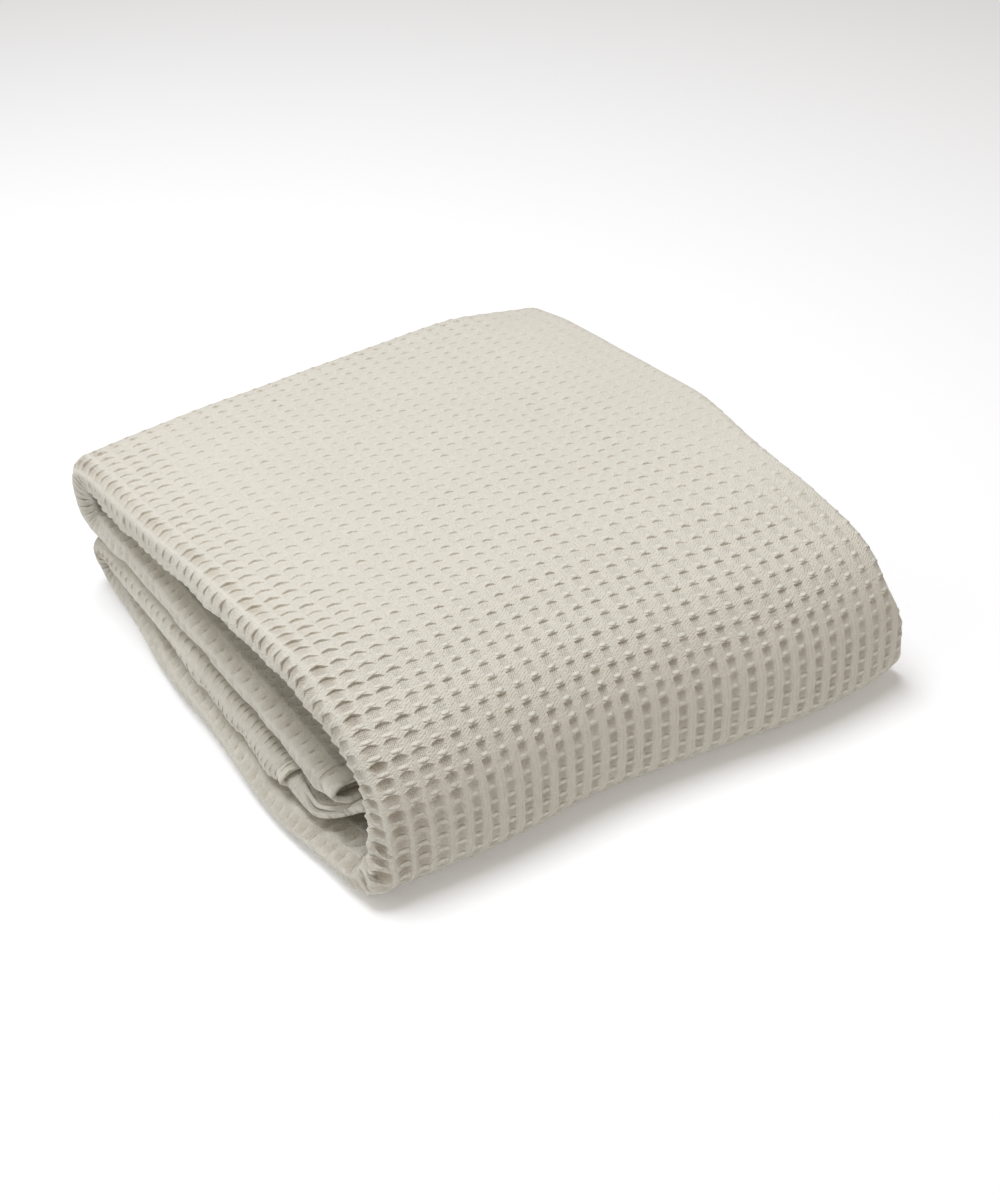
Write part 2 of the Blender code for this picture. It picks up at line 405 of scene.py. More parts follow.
DEPTHS = [Depth(*row) for row in (
    ("inner flap, tip",         0.60, 0.50),
    ("inner flap, back",        0.60, 0.50),
    ("upper back fold, below",  0.70, 0.60),
    ("upper back fold, above",  0.35, 0.80),
    ("top, back",               0.20, 0.62),
    ("top, middle",             0.25, 0.66),
    ("top, shoulder",           0.36, 0.72),
    ("front, shoulder",         0.72, 0.85),
    ("front, middle",           1.20, 0.95),
    ("front, foot",             1.15, 0.80),
    ("underside, front",        0.60, 0.55),
    ("lower back fold, below",  0.60, 0.50),
    ("lower back fold, above",  0.80, 0.45),
    ("outer flap, back",        0.60, 0.30),
    ("outer flap, tip",         0.60, 0.28),
)]


class Crease(NamedTuple):
    """A soft ridge or, with a negative height, a soft trough."""

    name: str
    across: float
    along: float
    length: float
    width: float
    angle: float        # in degrees, from across the cloth towards along it
    height: float

    def turned(self, x: "np.ndarray | Socket", y: "np.ndarray | Socket") -> tuple:
        """Turn distances from the crease's middle to its own direction.

        Args:
            x: Distances across the cloth.
            y: Distances along the cloth.

        Returns:
            The distances onward along the crease, and aside from it.
        """
        angle = math.radians(self.angle)
        onward = x * math.cos(angle) + y * math.sin(angle)
        aside = y * math.cos(angle) - x * math.sin(angle)
        return onward, aside


CREASES = [Crease(name, across * MM, along * MM, length * MM, width * MM, angle, height * MM)
           for name, across, along, length, width, angle, height in (
    # name                across   along length width angle height
    ("mitre",             -200.5,  755.0, 24, 2.6,   30, -2.0),
    ("mitre, beside it",  -204.0,  749.0, 20, 4.0,   30,  0.8),
    ("fan, first",        -194.0,  783.0, 24, 2.6,  -75, -1.8),
    ("fan, second",       -193.0,  774.0, 22, 2.8,  -40, -1.8),
    ("fan, third",        -192.0,  763.0, 20, 2.8,   35, -1.3),
    ("pinch, upper",      -170.5,  698.0,  9, 1.3,   25, -1.5),
    ("pinch, second",     -172.5,  704.5,  7, 1.1,   15, -1.1),
    ("pinch, lower",      -175.0,  713.4, 10, 1.3,   15, -1.6),
    ("pinch, lowest",     -179.0,  720.0,  8, 1.2,   20, -1.0),
    ("outer flap, upper",  450.5, 1357.0, 46, 1.0,   86, -1.2),
    ("outer flap, lower",  454.2, 1362.0, 34, 0.8,   84, -1.2),
    ("curl, back left",   -175.0,  297.0, 30, 2.2,  -76, -1.6),
)]


class Unevenness:
    """Smooth noise over the flat cloth, between -1 and 1."""

    COUNT = 512                 # values each way, before the noise repeats
    FIRST = (200.0, 50.0)       # the column and row that lie at the flat cloth's zero

    def __init__(self, size: float, seed: int) -> None:
        """Draw the noise's values.

        Args:
            size: The distance between one value and the next.
            seed: The draw's number.
        """
        self.size = size
        self.values = np.random.default_rng(seed).uniform(-1.0, 1.0, (self.COUNT, self.COUNT))

    def value(self, column: np.ndarray, row: np.ndarray) -> np.ndarray:
        """Read the values at whole columns and rows."""
        return self.values[column % self.COUNT, row % self.COUNT]

    def at(self, across: np.ndarray, along: np.ndarray) -> np.ndarray:
        """Read the noise.

        Args:
            across: Flat places across the cloth.
            along: Flat places along the cloth.

        Returns:
            The noise there.
        """
        columns = (across / self.size) + self.FIRST[0]
        rows = (along / self.size) + self.FIRST[1]
        column = np.floor(columns).astype(int)
        row = np.floor(rows).astype(int)
        right = ease(columns - column)
        up = ease(rows - row)
        low = mix(self.value(column, row), self.value(column + 1, row), right)
        high = mix(self.value(column, row + 1), self.value(column + 1, row + 1), right)
        return mix(low, high, up)


def uneven(layers: tuple, across: np.ndarray, along: np.ndarray) -> np.ndarray:
    """Add up layers of noise.

    Args:
        layers: Rows of a share, a size and a seed.
        across: Flat places across the cloth.
        along: Flat places along the cloth.

    Returns:
        The noise there.
    """
    return sum(share * Unevenness(size, seed).at(across, along) for share, size, seed in layers)


@dataclass(frozen=True)
class WaffleWeave:
    """The size and relief of the weave's cells."""

    cells_across: int = 127
    cells_along: int = 173
    cell_across: float = 10.0 * MM
    start: float = -505.0 * MM          # where the first cell's rib lies, across the cloth
    pocket_depth: float = 1.6 * MM
    rib_middle: float = 7.8 * MM        # from the pocket's side to the middle of the next rib
    ridge_middle: float = 0.89          # from the pocket's end, as a share of a cell's length
    rib_lines: tuple = (0.0, 0.9 * MM, 2.8 * MM, 4.7 * MM, 5.6 * MM, 7.8 * MM)
    ridge_lines: tuple = (0.0, 0.065, 0.40, 0.78)       # as shares of a cell's length
    middle_line: int = 2                # the rib line along the pocket's middle,
    side_line: int = 4                  # and the one along its far side
    steep_lines: int = 2                # ridge lines at the pocket's steep end
    depths: tuple = (                   # of the pocket, by mesh line across, then along
        (0.00, 0.02, 0.02, 0.00),
        (0.00, 0.74, 0.52, 0.03),
        (0.00, 1.00, 0.74, 0.10),
        (0.00, 0.74, 0.52, 0.03),
        (0.00, 0.02, 0.02, 0.00),
        (0.00, 0.00, 0.00, 0.00))
    bowls: tuple = (                    # the same on the rolled end
        (-0.1, -0.1, -0.1, -0.1),
        (0.30, 0.85, 0.90, 0.42),
        (0.25, 1.00, 1.10, 0.48),
        (0.30, 0.85, 0.90, 0.42),
        (-0.1, -0.1, -0.1, -0.1),
        (-0.1, -0.1, -0.1, -0.1))
    beads: tuple = (                    # heights of the raised end of the next pocket's ridge
        (0.00, 0.00, 0.00, 0.00),
        (0.80, 0.00, 0.00, 0.00),
        (1.00, 0.00, 0.00, 0.05),
        (0.80, 0.00, 0.00, 0.00),
        (0.00, 0.00, 0.00, 0.00),
        (0.00, 0.00, 0.00, 0.00))
    bead_height: float = 0.32           # as a share of the pockets' depth
    arch: tuple = (1.0, 0.45, 0.0, 0.45, 1.0, 1.0)      # by mesh line across
    arched: tuple = (1.3 * MM, 1.2 * MM, 0.3 * MM, -0.6 * MM)      # by mesh line along
    kept_ribs: dict = field(default_factory=lambda: {
        Grain.COARSE: (0,), Grain.FOLD: (0, 1, 2, 3, 4, 5), Grain.EDGE: (0, 2, 4),
        Grain.FINE: (0, 1, 2, 3, 4), Grain.FINE_FOLD: (0, 1, 2, 3, 4, 5)})
    kept_ridges: dict = field(default_factory=lambda: {
        Grain.COARSE: (0,), Grain.FOLD: (0,), Grain.EDGE: (0, 2),
        Grain.FINE: (0, 1, 2, 3), Grain.FINE_FOLD: (0, 1, 2, 3)})

    @property
    def end(self) -> float:
        """Where the last rib lies, across the cloth."""
        return self.start + self.cells_across * self.cell_across

    @property
    def lines(self) -> tuple[int, int]:
        """How many mesh lines one cell has, across the cloth and along it."""
        return len(self.rib_lines), len(self.ridge_lines)

    @property
    def columns(self) -> int:
        """The number of mesh lines that run along the cloth."""
        return self.cells_across * self.lines[0] + 1

    @property
    def rows(self) -> int:
        """The number of mesh lines that run across the cloth."""
        return self.cells_along * self.lines[1] + 1


WEAVE = WaffleWeave()
SHEET_START = WEAVE.start
SHEET_END = WEAVE.end


@dataclass
class Blanket:
    """The folded blanket: one closed sheet of waffle weave."""

    thickness: float = 3.0 * MM
    inner_rise: float = 0.3 * MM        # how far the inner side follows the outer one up,
    inner_fall: float = 0.2 * MM        # and down
    thinnest: float = 0.35 * MM         # cloth left under the deepest pockets
    edge_round: float = 0.28            # how far the cloth's edge bulges, in thicknesses
    hem_width: float = 12.0 * MM
    hem_grain: float = 10.0 * MM        # how much of the hem has the finer mesh
    wobble: float = 0.45 * MM           # how far the weave's lines wander
    wobble_across: tuple = ((0.65, 38.0 * MM, 1), (0.35, 11.0 * MM, 2))
    wobble_along: tuple = ((0.65, 45.0 * MM, 3), (0.35, 12.0 * MM, 4))
    still_edge: float = 20.0 * MM       # how near the cloth's edges they come to rest
    shift_along: float = 2.7 * MM       # of the weave's rows
    drift: float = 5.5 * MM             # of its columns near the rolled end, from the top's
    drift_middle: float = 565.0 * MM    # back to its front, and where it is nil
    drift_reach: float = 250.0 * MM
    drift_most: float = 0.5             # of it, either way
    drift_band: Band = Band(-215.0 * MM, -95.0 * MM, 20.0 * MM, 45.0 * MM)
    depth_draw: tuple = (0.55, 1.3)     # how much the pockets' depths differ
    depth_seed: int = 11
    bead_least: float = 0.4             # of the beads' height, where the pockets are shallow
    beside_hems: tuple = (0.25, 0.75)   # of the pockets' depth, on the top and the front
    swell: float = 0.7 * MM             # how far the cloth's face rises and falls
    swell_layers: tuple = ((0.7, 52.0 * MM, 5), (0.3, 21.0 * MM, 6))
    roll_swell: float = 1.0 * MM        # and how far more on the rolled end
    roll_layers: tuple = ((1.0, 13.0 * MM, 7),)
    scallop: float = 0.7 * MM           # how far the rolled end stands out beside each ridge
    scallop_least: float = 0.6          # its share off the top and front, and 1 more on them
    scallop_band: Band = Band(-202.0 * MM, -168.0 * MM, 8.0 * MM, 8.0 * MM)
    wide_pockets: float = 0.52          # how much wider the pockets are on the rolled end
    rounder: float = 0.6                # how much rounder,
    longer: float = 0.7 * MM            # and how much longer
    straighter: float = 0.8             # how much less round they are on the front
    skew: float = 0.30                  # how far the top's pockets slant
    # Where the pockets and the face change, across the cloth and then along it
    to_wide: Slope = Slope(-112.0 * MM, -30.0 * MM)
    to_bowls: Slope = Slope(-132.0 * MM, -25.0 * MM)
    to_roll: Slope = Slope(-150.0 * MM, -20.0 * MM)
    to_middle: Slope = Slope(-165.0 * MM, 45.0 * MM)
    to_hems: Slope = Slope(82.0 * MM, 32.0 * MM)
    to_bend: Slope = Slope(560.0 * MM, 90.0 * MM)
    to_shoulder: Slope = Slope(640.0 * MM, 50.0 * MM)
    # Stretches across the cloth: the face that swells, and where the mesh is finer
    outer_face: Band = Band(-205.0 * MM, 150.0 * MM, 12.0 * MM, 8.0 * MM)
    outer: Band = Band(-165.0 * MM, 136.0 * MM)
    roll: Band = Band(-200.0 * MM, -160.0 * MM)
    past_roll: Band = Band(-265.0 * MM, -195.0 * MM)
    first_fold: Band = Band(126.0 * MM, 155.0 * MM)
    inner_fold: Band = Band(440.0 * MM, 475.0 * MM)
    fold: FoldedCloth = field(default_factory=FoldedCloth)
    weave: WaffleWeave = WEAVE

    def __post_init__(self) -> None:
        """Work out the stretches along the cloth that the methods share."""
        corner = self.fold.way.corner
        self.length = self.fold.way.length
        self.cell_along = self.length / self.weave.cells_along
        self.woven = Band(start=corner("upper back fold, below") - 30 * MM,
                          end=corner("front, foot") + 8 * MM, rise=40 * MM, fall=40 * MM)
        self.lower = Band(start=corner("lower back fold, below") - 24 * MM,
                          end=corner("lower back fold, above") + 24 * MM)
        self.inside_to = corner("inner flap, back")
        self.hollow = Band(start=corner("front, shoulder"), end=corner("underside, middle"))
        self.on_floor = Band(start=corner("front, foot") + 4 * MM,
                             end=corner("lower back fold, below") - 20 * MM,
                             rise=10 * MM, fall=10 * MM)

    def cell_middles(self) -> tuple[np.ndarray, np.ndarray]:
        """Where the cells' middles lie on the flat cloth.

        Returns:
            Places across for each column of cells, and along for each row.
        """
        weave = self.weave
        across = weave.start + (np.arange(weave.cells_across) + 0.5) * weave.cell_across
        return across, (np.arange(weave.cells_along) + 0.5) * self.cell_along

    def grain_map(self) -> np.ndarray:
        """How fine the outer side's mesh is in each cell.

        Returns:
            Values of Grain, by cell across and cell along.
        """
        weave = self.weave
        across, along = np.meshgrid(*self.cell_middles(), indexing="ij")
        grain = np.full(across.shape, Grain.COARSE.value)
        outer, roll = self.outer.holds(across), self.roll.holds(across)
        seen_inside = self.past_roll.holds(across) & (
            (along < self.inside_to) | self.hollow.holds(along))
        first_fold = self.first_fold.holds(across)
        hems = (across < weave.start + self.hem_grain) | (across > weave.end - self.hem_grain)
        tips = (along < self.cell_along) | (along > self.length - self.cell_along)
        woven, lower = self.woven.holds(along), self.lower.holds(along)
        grain[hems | tips] = Grain.EDGE.value
        grain[outer & lower] = Grain.EDGE.value
        grain[self.inner_fold.holds(across) | first_fold] = Grain.FOLD.value
        grain[roll | seen_inside | (outer & woven)] = Grain.FINE.value
        grain[first_fold & (woven | lower)] = Grain.FINE_FOLD.value
        return grain

    def inside_map(self) -> np.ndarray:
        """How fine the inner side's mesh is in each cell.

        Returns:
            Values of Grain, by cell across and cell along.
        """
        across, along = self.cell_middles()
        grain = np.full((len(across), len(along)), Grain.COARSE.value)
        for band in (self.roll, self.first_fold, self.inner_fold):
            grain[band.holds(across), :] = Grain.EDGE.value
        return grain

    def patches(self, grain: np.ndarray) -> list[tuple[int, int, int, int]]:
        """The mesh's faces as blocks of lattice lines.

        Args:
            grain: A value of Grain for each cell.

        Returns:
            The first and last column, and the first and last row, of each face.
        """
        weave = self.weave
        ribs, ridges = weave.lines
        found = []
        for i in range(weave.cells_across):
            for j in range(weave.cells_along):
                kind = Grain(grain[i, j])
                if kind is Grain.COARSE:
                    even_i, even_j = i - i % 2, j - j % 2
                    block = grain[even_i:even_i + 2, even_j:even_j + 2]
                    if (block == Grain.COARSE.value).all():
                        if (i, j) == (even_i, even_j):
                            found.append((i * ribs, (i + block.shape[0]) * ribs,
                                          j * ridges, (j + block.shape[1]) * ridges))
                        continue
                columns = [i * ribs + line for line in weave.kept_ribs[kind]] + [(i + 1) * ribs]
                rows = [j * ridges + line for line in weave.kept_ridges[kind]]
                rows.append((j + 1) * ridges)
                found += [(c0, c1, r0, r1) for c0, c1 in zip(columns, columns[1:])
                          for r0, r1 in zip(rows, rows[1:])]
        return found

    def polygons(self, patches: list, extra: np.ndarray | None = None
                 ) -> tuple[list, np.ndarray]:
        """Turn blocks into polygons that meet corner to corner.

        Args:
            patches: Blocks of lattice lines.
            extra: Lattice places that the borders have to take in too.

        Returns:
            The polygons as lists of lattice places, and the table of places in use.
        """
        used = np.zeros((self.weave.columns, self.weave.rows), bool)
        if extra is not None:
            used |= extra
        corners = np.array(patches)
        for column in (0, 1):
            for row in (2, 3):
                used[corners[:, column], corners[:, row]] = True
        faces = []
        for c0, c1, r0, r1 in patches:
            if c1 - c0 <= 1 and r1 - r0 <= 1:
                faces.append([(c0, r0), (c1, r0), (c1, r1), (c0, r1)])
                continue
            face = [(c, r0) for c in range(c0, c1) if used[c, r0]]
            face += [(c1, r) for r in range(r0, r1) if used[c1, r]]
            face += [(c, r1) for c in range(c1, c0, -1) if used[c, r1]]
            face += [(c0, r) for r in range(r1, r0, -1) if used[c0, r]]
            faces.append(face)
        return faces, used

    def border(self, used: np.ndarray) -> np.ndarray:
        """The lattice places in use round the sheet's edge.

        Args:
            used: The table of places in use.

        Returns:
            Column and row numbers in order round the sheet, one place a row.
        """
        last_column, last_row = used.shape[0] - 1, used.shape[1] - 1
        loop = [(c, 0) for c in range(last_column) if used[c, 0]]
        loop += [(last_column, r) for r in range(last_row) if used[last_column, r]]
        loop += [(c, last_row) for c in range(last_column, 0, -1) if used[c, last_row]]
        loop += [(0, r) for r in range(last_row, 0, -1) if used[0, r]]
        return np.array(loop)

    def flat_places(self, lattice: np.ndarray) -> tuple[np.ndarray, np.ndarray]:
        """Where lattice places lie on the flat cloth.

        Args:
            lattice: Column and row numbers, one place a row.

        Returns:
            Places across and along the cloth.
        """
        weave = self.weave
        ribs, ridges = weave.lines
        column, line = np.divmod(lattice[:, 0], ribs)
        across = weave.start + column * weave.cell_across + np.array(weave.rib_lines)[line]
        row, line = np.divmod(lattice[:, 1], ridges)
        along = (row + np.array(weave.ridge_lines)[line]) * self.cell_along
        return across, along

    def from_edge(self, across: np.ndarray, along: np.ndarray) -> np.ndarray:
        """How far in from the cloth's nearest edge flat places lie."""
        sides = np.minimum(across - self.weave.start, self.weave.end - across)
        return np.minimum(sides, np.minimum(along, self.length - along))

    def rounded(self, lattice: np.ndarray, fine: np.ndarray) -> tuple[np.ndarray, np.ndarray]:
        """How far the pockets' corners move to make them round, and wide on the rolled end.

        Args:
            lattice: Column and row numbers, one place a row.
            fine: 1 where the pockets are modelled.

        Returns:
            Moves across and along the cloth.
        """
        weave = self.weave
        rib, ridge = (lattice % weave.lines).T
        across, along = self.flat_places(lattice)
        wide = self.to_wide.at(across) * fine
        lines = np.array(weave.rib_lines)
        from_middle = lines[rib] - lines[weave.middle_line]
        in_pocket = rib <= weave.side_line
        sideways = np.where(in_pocket, from_middle * self.wide_pockets * wide, 0.0)
        onwards = np.array(weave.arch)[rib] * np.array(weave.arched)[ridge] * fine
        bent = self.to_bend.at(along) * (1.0 - wide)
        onwards = onwards * (1.0 + self.rounder * wide) * (1.0 - self.straighter * bent)
        onwards = onwards + np.where(ridge == weave.lines[1] - 1, self.longer * wide, 0.0)
        top = 1.0 - self.to_bend.at(along)
        steep = in_pocket & (ridge < weave.steep_lines)
        onwards = onwards + np.where(steep, from_middle * fine * top, 0) * self.skew
        return sideways, onwards

    def wandered(self, across: np.ndarray, along: np.ndarray) -> tuple[np.ndarray, np.ndarray]:
        """Let the weave's lines wander, but not at the sheet's edges.

        Args:
            across: Places across the flat cloth.
            along: Places along the flat cloth.

        Returns:
            The moved places.
        """
        clear = ease(self.from_edge(across, along) / self.still_edge)
        sideways = uneven(self.wobble_across, across, along)
        onwards = uneven(self.wobble_along, across, along)
        off_middle = (along - self.drift_middle) / self.drift_reach
        drift = self.drift * np.clip(off_middle, -self.drift_most, self.drift_most)
        sideways = sideways * self.wobble + drift * self.drift_band.at(across)
        onwards = onwards * self.wobble + self.shift_along
        return across + sideways * clear, along + onwards * clear

    def relief(self, lattice: np.ndarray, woven: np.ndarray) -> np.ndarray:
        """How far the weave's pockets lie below its ribs.

        Args:
            lattice: Column and row numbers, one place a row.
            woven: 1 where the pockets are modelled.

        Returns:
            Depths as shares of the full depth.
        """
        weave = self.weave
        (column, row), (rib, ridge) = (part.T for part in np.divmod(lattice, weave.lines))
        across, along = self.flat_places(lattice)
        places = [self.fold.way.corner(depth.corner) for depth in DEPTHS]
        middle = np.interp(along, places, [depth.middle for depth in DEPTHS])
        roll = np.interp(along, places, [depth.roll for depth in DEPTHS])
        depth = mix(roll, middle, self.to_middle.at(across))
        beside_hems = mix(*self.beside_hems, self.to_shoulder.at(along))
        depth = depth * mix(1.0, beside_hems, self.to_hems.at(across))
        draw = np.random.default_rng(self.depth_seed)
        shape = (weave.cells_across + 1, weave.cells_along + 1)
        depth = depth * draw.uniform(*self.depth_draw, shape)[column, row]
        bead = weave.bead_height * mix(self.bead_least, 1.0, depth)
        bead = bead * np.array(weave.beads)[rib, ridge]
        depth = depth * mix(np.array(weave.depths)[rib, ridge],
                            np.array(weave.bowls)[rib, ridge], self.to_bowls.at(across)) - bead
        return depth * woven * ease(self.from_edge(across, along) / self.hem_width)

    def swelling(self, across: np.ndarray, along: np.ndarray) -> np.ndarray:
        """How far the cloth's face stands out from its fold, with its creases.

        Args:
            across: Places across the flat cloth.
            along: Places along the flat cloth.

        Returns:
            Heights.
        """
        height = self.swell * uneven(self.swell_layers, across, along)
        on_roll = self.to_roll.at(across)
        height = height + self.roll_swell * on_roll * uneven(self.roll_layers, across, along)
        beside = np.cos(math.tau * (along / self.cell_along - self.weave.ridge_middle))
        below = self.scallop_band.at(across)
        height = height + self.scallop * below * beside * (
            self.scallop_least + self.woven.at(along))
        height = height * self.outer_face.at(across) * (1.0 - self.on_floor.at(along))
        for crease in CREASES:
            onward, aside = crease.turned(across - crease.across, along - crease.along)
            height = height + crease.height * np.exp(-(aside / crease.width) ** 2) * ease(
                2.0 - 2.0 * np.abs(onward) / (crease.length / 2))
        return height

    def sharpen(self, mesh: bpy.types.Mesh, lattice: np.ndarray) -> None:
        """Keep the shading of the pockets' steep ends apart from the cloth round them.

        Args:
            mesh: The sheet's mesh, whose first points are the lattice places.
            lattice: Column and row numbers, one place a row.
        """
        ribs, ridges = self.weave.lines
        steep, side = self.weave.steep_lines, self.weave.side_line
        ends = np.zeros(len(mesh.edges) * 2, int)
        mesh.edges.foreach_get("vertices", ends)
        ends = ends.reshape(-1, 2)
        on_top = (ends < len(lattice)).all(axis=1)
        first, second = (lattice[np.where(on_top, ends[:, end], 0)] for end in (0, 1))
        ridge = first[:, 1] % ridges
        rib = np.minimum(first[:, 0], second[:, 0]) % ribs
        sharp = (first[:, 1] == second[:, 1]) & (ridge < steep) & (rib < side)
        sharp &= np.abs(first[:, 0] - second[:, 0]) == 1
        lower = np.minimum(first[:, 1], second[:, 1]) % ridges
        sharp |= (first[:, 0] == second[:, 0]) & (lower < steep) & ((rib == 0) | (rib == side))
        sharp &= on_top
        marked = mesh.attributes.new("sharp_edge", "BOOLEAN", "EDGE")
        marked.data.foreach_set("value", sharp)

    def inner_height(self, raised: np.ndarray) -> np.ndarray:
        """How far the inner side lies from the fold, where the outer one swells so far."""
        return np.clip(raised, -self.inner_fall, self.inner_rise) - self.thickness / 2

    def woven_places(self, lattice: np.ndarray, grain: np.ndarray) -> np.ndarray:
        """Where the pockets are modelled.

        Args:
            lattice: Column and row numbers, one place a row.
            grain: A value of Grain for each cell.

        Returns:
            1 or 0 for each place; on a cell's border all the cells beside it decide.
        """
        weave = self.weave
        fine = np.isin(grain, (Grain.FINE.value, Grain.FINE_FOLD.value))
        cell = np.minimum(lattice // weave.lines, (weave.cells_across - 1, weave.cells_along - 1))
        before = np.maximum(cell - 1, 0)
        woven = np.ones(len(lattice))
        for columns in (cell[:, 0], before[:, 0]):
            for rows in (cell[:, 1], before[:, 1]):
                woven = np.minimum(woven, fine[columns, rows])
        within = (lattice % weave.lines > 0).all(axis=1)
        return np.where(within, fine[cell[:, 0], cell[:, 1]], woven)

    def stand_out(self, across: np.ndarray, along: np.ndarray, height: np.ndarray) -> np.ndarray:
        """Points at a height over the folded cloth's middle."""
        out = self.fold.normals(across, along)
        return self.fold.fold(across, along) + out * height[:, None]

    def outer_side(self, lattice: np.ndarray, woven: np.ndarray) -> tuple[np.ndarray, ...]:
        """The outer side's points, with the weave.

        Args:
            lattice: Column and row numbers, one place a row.
            woven: 1 where the pockets are modelled.

        Returns:
            The flat places, the points, and the pockets' depths as shares.
        """
        across, along = self.flat_places(lattice)
        shares = self.relief(lattice, woven)
        sideways, onwards = self.rounded(lattice, woven)
        across, along = across + sideways, along + onwards
        flat = np.stack((across, along), axis=1)
        across, along = self.wandered(across, along)
        raised = self.swelling(across, along)
        height = self.thickness / 2 + raised - shares * self.weave.pocket_depth
        height = np.maximum(height, self.inner_height(raised) + self.thinnest)
        return flat, self.stand_out(across, along, height), shares

    def inner_side(self, lattice: np.ndarray) -> tuple[np.ndarray, np.ndarray]:
        """The inner side's points.

        Args:
            lattice: Column and row numbers, one place a row.

        Returns:
            The flat places and the points.
        """
        across, along = self.flat_places(lattice)
        flat = np.stack((across, along), axis=1)
        across, along = self.wandered(across, along)
        height = self.inner_height(self.swelling(across, along))
        return flat, self.stand_out(across, along, height)

    def rim(self, loop: np.ndarray) -> tuple[np.ndarray, np.ndarray]:
        """The points of the cloth's rounded edge.

        Args:
            loop: Column and row numbers round the sheet, one place a row.

        Returns:
            The flat places and the points.
        """
        last = (self.weave.columns - 1, self.weave.rows - 1)
        flat = np.stack(self.flat_places(loop), axis=1)
        outward = np.where(loop == 0, -1, np.where(loop == last, 1, 0))
        beyond = flat + self.thickness * self.edge_round * outward
        return flat, self.fold.fold(beyond[:, 0], beyond[:, 1])

    def rim_faces(self, loop: np.ndarray, top: np.ndarray, low: np.ndarray, first: int
                  ) -> list[list[int]]:
        """The faces that join the two sides round the edge.

        Args:
            loop: Column and row numbers round the sheet, one place a row.
            top: The table of the outer side's point numbers.
            low: The table of the inner side's point numbers.
            first: The number of the rim's first point.

        Returns:
            The faces as lists of point numbers.
        """
        count = len(loop)
        faces = []
        for number in range(count):
            after = (number + 1) % count
            here, there = tuple(loop[number]), tuple(loop[after])
            faces.append([int(top[here]), int(top[there]), first + after, first + number])
            faces.append([first + number, first + after, int(low[there]), int(low[here])])
        return faces

    def mark(self, mesh: bpy.types.Mesh, name: str, values: np.ndarray) -> None:
        """Store a value on each of the mesh's points.

        Args:
            mesh: The sheet's mesh.
            name: The attribute's name.
            values: The values of the first points; the others get 0.
        """
        padded = np.zeros(len(mesh.vertices))
        padded[:len(values)] = values
        mesh.attributes.new(name, "FLOAT", "POINT").data.foreach_set("value", padded)

    def build(self) -> bpy.types.Object:
        """Model the folded sheet.

        Returns:
            The blanket's object.
        """
        grain = self.grain_map()
        outside, used = self.polygons(self.patches(grain))
        edge = used.copy()
        edge[1:-1, 1:-1] = False
        inside, used_inside = self.polygons(self.patches(self.inside_map()), edge)
        top, below, loop = np.argwhere(used), np.argwhere(used_inside), self.border(used)
        top_number, low_number = np.zeros(used.shape, int), np.zeros(used.shape, int)
        top_number[tuple(top.T)] = np.arange(len(top))
        low_number[tuple(below.T)] = len(top) + np.arange(len(below))

        woven = self.woven_places(top, grain)
        outer_flat, outer_points, shares = self.outer_side(top, woven)
        inner_flat, inner_points = self.inner_side(below)
        rim_flat, rim_points = self.rim(loop)
        flat = np.concatenate((outer_flat, inner_flat, rim_flat))
        points = np.concatenate((outer_points, inner_points, rim_points))
        points[:, 2] = np.maximum(points[:, 2], 0.0)
        faces = [[int(top_number[place]) for place in reversed(face)] for face in outside]
        faces += [[int(low_number[place]) for place in face] for face in inside]
        faces += self.rim_faces(loop, top_number, low_number, len(top) + len(below))

        mesh = bpy.data.meshes.new("blanket_cloth")
        mesh.from_pydata(points.tolist(), [], faces)
        mesh.update()
        self.mark(mesh, "pocket", shares)
        self.mark(mesh, "modelled", woven)
        uv = mesh.uv_layers.new(name="flat")
        corners = np.zeros(len(mesh.loops), int)
        mesh.loops.foreach_get("vertex_index", corners)
        uv.data.foreach_set("uv", flat[corners].ravel())
        mesh.shade_smooth()
        self.sharpen(mesh, top)
        cloth = bpy.data.objects.new("blanket_cloth", mesh)
        bpy.context.scene.collection.objects.link(cloth)
        cloth.data.materials.append(Cotton().material(self))
        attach(cloth, "root")
        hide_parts("blanket")
        width = self.weave.end - self.weave.start
        triangles = sum(len(face) - 2 for face in faces)
        LOG.info("cloth: %d faces, %d triangles", len(faces), triangles)
        return cloth


# --------------------------------------------------------------------------- finishes

